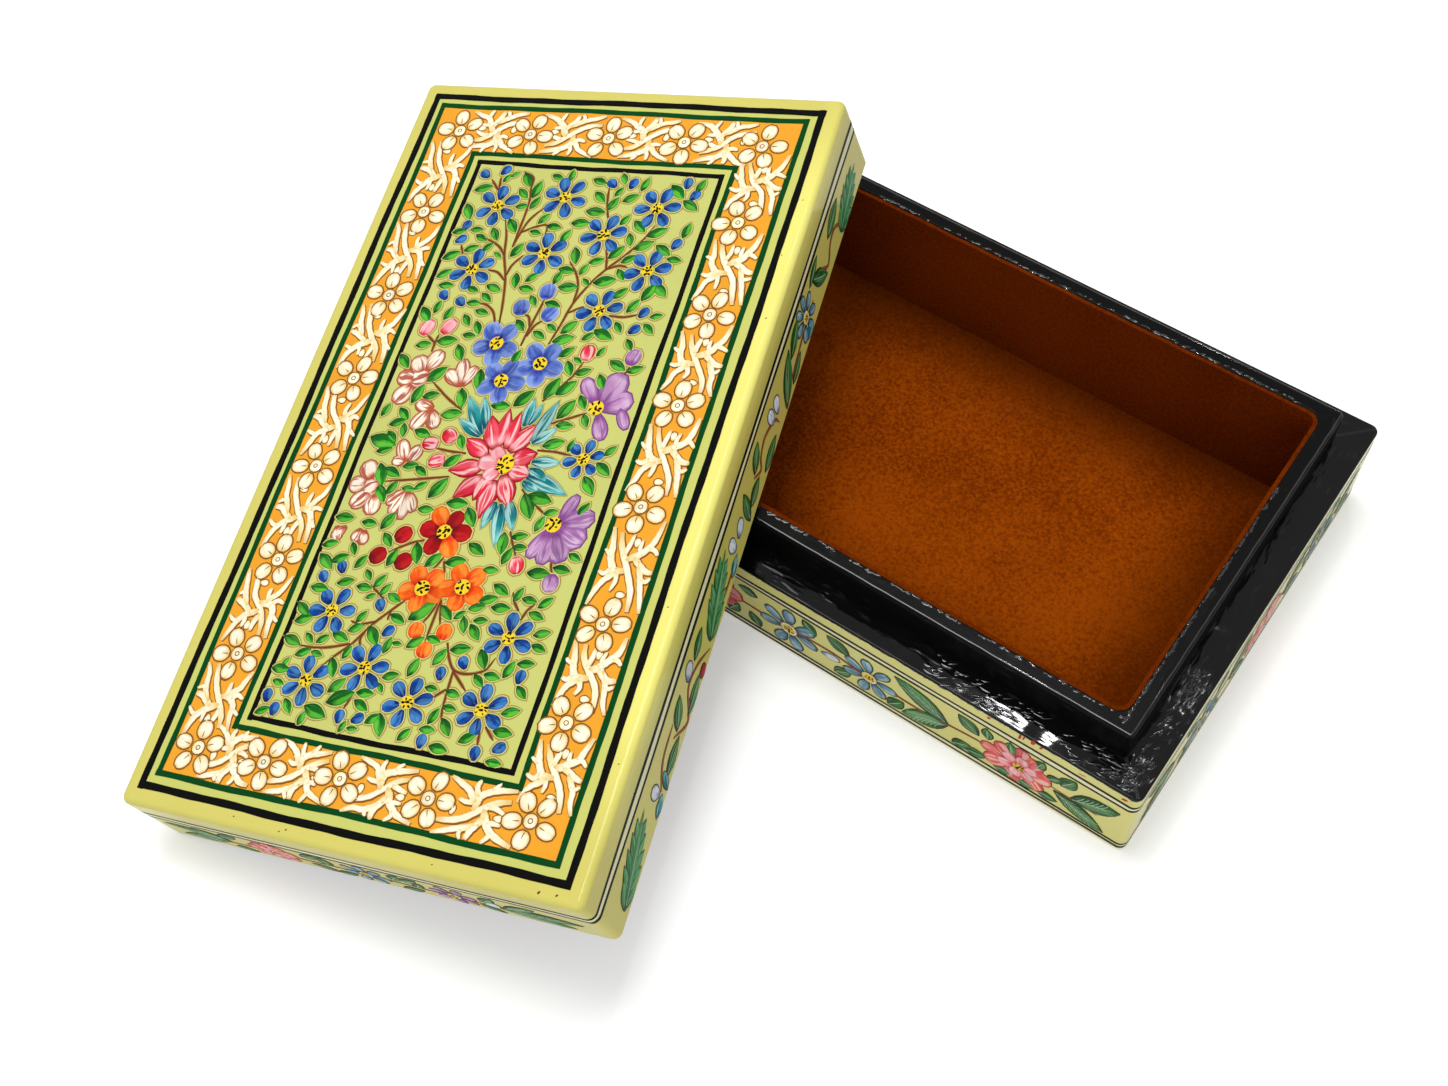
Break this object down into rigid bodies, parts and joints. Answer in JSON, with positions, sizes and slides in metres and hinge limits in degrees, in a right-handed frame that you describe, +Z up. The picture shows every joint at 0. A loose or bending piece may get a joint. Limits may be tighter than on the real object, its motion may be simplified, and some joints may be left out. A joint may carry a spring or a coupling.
{
  "type": "decorative keepsake box",
  "caption": "Low rectangular keepsake box with a lift-off lid: painted floral lacquer outside, black inner lip that seats the lid, velvet-lined compartment.",
  "frame": {"origin": "centre of the underside of the base", "axes": "+X along the length of the base, -Y out of its front wall, +Z up; the lid lies open across the front left corner"},
  "size_m": [0.2176, 0.2096, 0.0646],
  "materials": {
    "painted_wood": "thin boards painted pale yellow-green with floral ornament, under clear gloss lacquer",
    "black_lacquer": "thin wood strips and boards under brushed black gloss lacquer",
    "velvet": "short brown velvet nap on a cloth backing"
  },
  "bodies": {
    "base": {"base_floor": "black_lacquer", "base_front_wall": "painted_wood", "base_back_wall": "painted_wood", "base_left_wall": "painted_wood", "base_right_wall": "painted_wood", "lip_front": "black_lacquer", "lip_back": "black_lacquer", "lip_left": "black_lacquer", "lip_right": "black_lacquer", "lining_floor": "velvet", "lining_front": "velvet", "lining_back": "velvet", "lining_left": "velvet", "lining_right": "velvet"},
    "lid": {"lid_top": "painted_wood", "lid_front_wall": "painted_wood", "lid_back_wall": "painted_wood", "lid_left_wall": "painted_wood", "lid_right_wall": "painted_wood", "lid_lining": "velvet"}
  },
  "joints": [
    {"name": "lid_lift", "type": "slide", "parent": "base", "child": "lid", "axis": [0, 0, 1], "range_m": [0, 0.06]}
  ]
}
